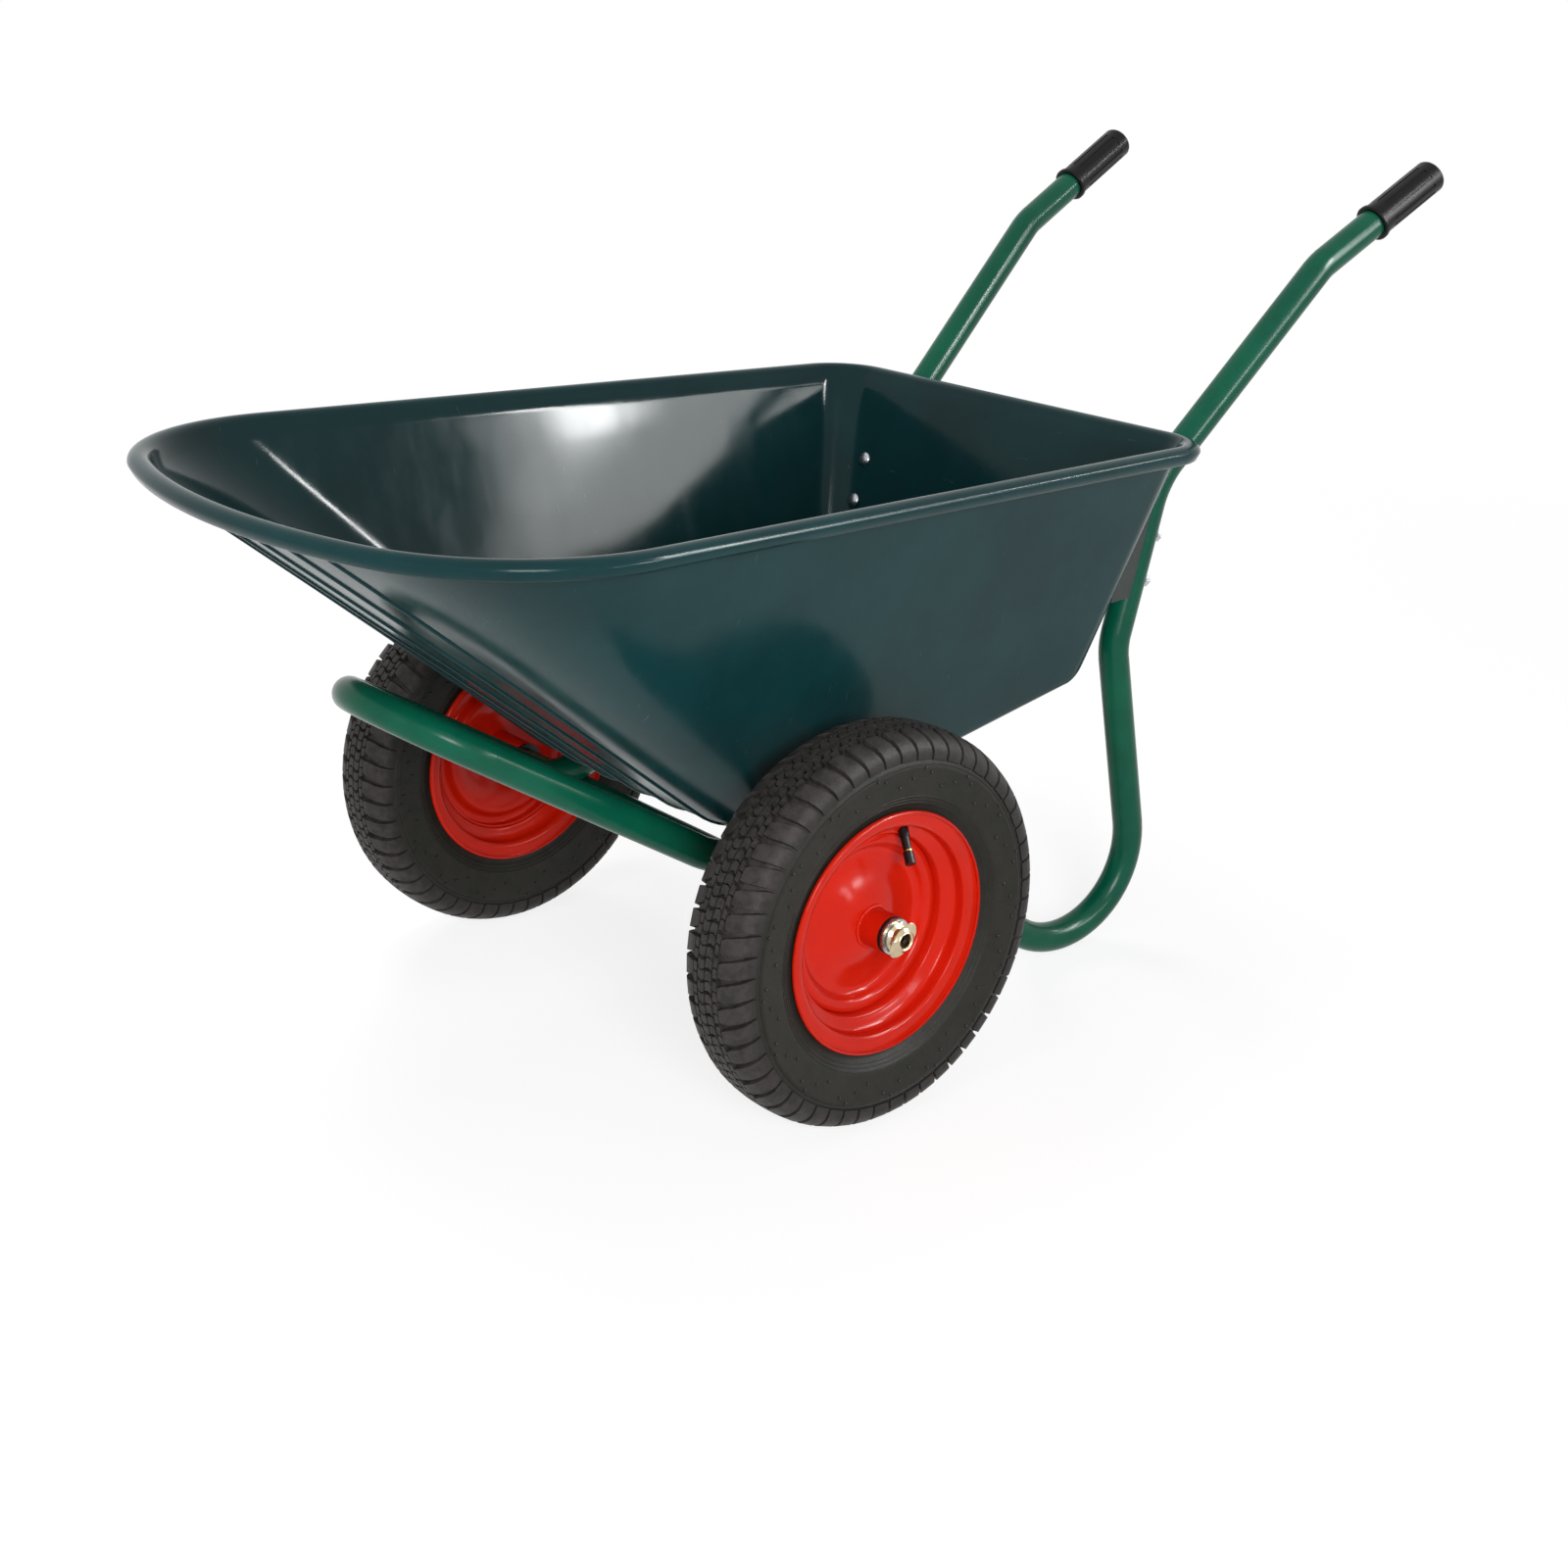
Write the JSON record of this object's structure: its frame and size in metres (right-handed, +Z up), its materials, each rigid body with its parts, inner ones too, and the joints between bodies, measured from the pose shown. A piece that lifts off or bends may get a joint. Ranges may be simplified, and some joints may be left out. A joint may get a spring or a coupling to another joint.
{
  "type": "two-wheeled wheelbarrow",
  "caption": "Garden wheelbarrow: a deep moulded tub with a rolled rim on a bent-tube frame with looped legs, rubber grips and pneumatic wheels on a cross axle.",
  "frame": {"origin": "on the floor, midway in plan between the grip ends and the front of the rim, on the centre line", "axes": "+X forwards to the nose, +Y to the left, +Z up"},
  "size_m": [1.3902, 0.6886, 0.794],
  "materials": {
    "tub_plastic": "satin",
    "green_enamel": "gloss",
    "grip_rubber": "satin",
    "spacer_plastic": "matte",
    "tyre_rubber": "matte",
    "inner_tube_rubber": "matte",
    "red_enamel": "gloss",
    "seal_rubber": "matte",
    "valve_rubber": "matte",
    "cap_plastic": "matte",
    "yellow_zinc": "satin",
    "bearing_steel": "polished",
    "zinc_steel": "satin"
  },
  "bodies": {
    "frame": {"tray": "tub_plastic", "left_handle_tube": "green_enamel", "right_handle_tube": "green_enamel", "front_frame_tube": "green_enamel", "axle_tube": "green_enamel", "left_spindle": "zinc_steel", "right_spindle": "zinc_steel", "left_grip": "grip_rubber", "right_grip": "grip_rubber", "left_rear_spacer": "spacer_plastic", "right_rear_spacer": "spacer_plastic", "rear_wall_bolts": "zinc_steel", "rear_wall_washers": "zinc_steel", "rear_wall_nuts": "zinc_steel", "floor_bolts": "zinc_steel", "floor_nuts": "zinc_steel", "splice_bolts": "zinc_steel", "splice_nuts": "zinc_steel", "left_axle_nut": "yellow_zinc", "right_axle_nut": "yellow_zinc", "left_axle_washer": "zinc_steel", "right_axle_washer": "zinc_steel", "left_inner_races": "bearing_steel", "right_inner_races": "bearing_steel", "left_race_spacer": "zinc_steel", "right_race_spacer": "zinc_steel"},
    "left_wheel": {"left_tyre": "tyre_rubber", "left_inner_tube": "inner_tube_rubber", "left_rim": "red_enamel", "left_wheel_disc": "red_enamel", "left_hub_tube": "red_enamel", "left_outer_races": "bearing_steel", "left_bearing_balls": "bearing_steel", "left_dust_seals": "seal_rubber", "left_valve_stem": "valve_rubber", "left_valve_cap": "cap_plastic"},
    "right_wheel": {"right_tyre": "tyre_rubber", "right_inner_tube": "inner_tube_rubber", "right_rim": "red_enamel", "right_wheel_disc": "red_enamel", "right_hub_tube": "red_enamel", "right_outer_races": "bearing_steel", "right_bearing_balls": "bearing_steel", "right_dust_seals": "seal_rubber", "right_valve_stem": "valve_rubber", "right_valve_cap": "cap_plastic"}
  },
  "joints": [
    {"name": "left_wheel_spin", "type": "hinge", "parent": "frame", "child": "left_wheel", "pos_m": [0.213, 0.29, 0.191], "axis": [0, 1, 0], "continuous": true},
    {"name": "right_wheel_spin", "type": "hinge", "parent": "frame", "child": "right_wheel", "pos_m": [0.213, -0.29, 0.191], "axis": [0, 1, 0], "continuous": true}
  ]
}
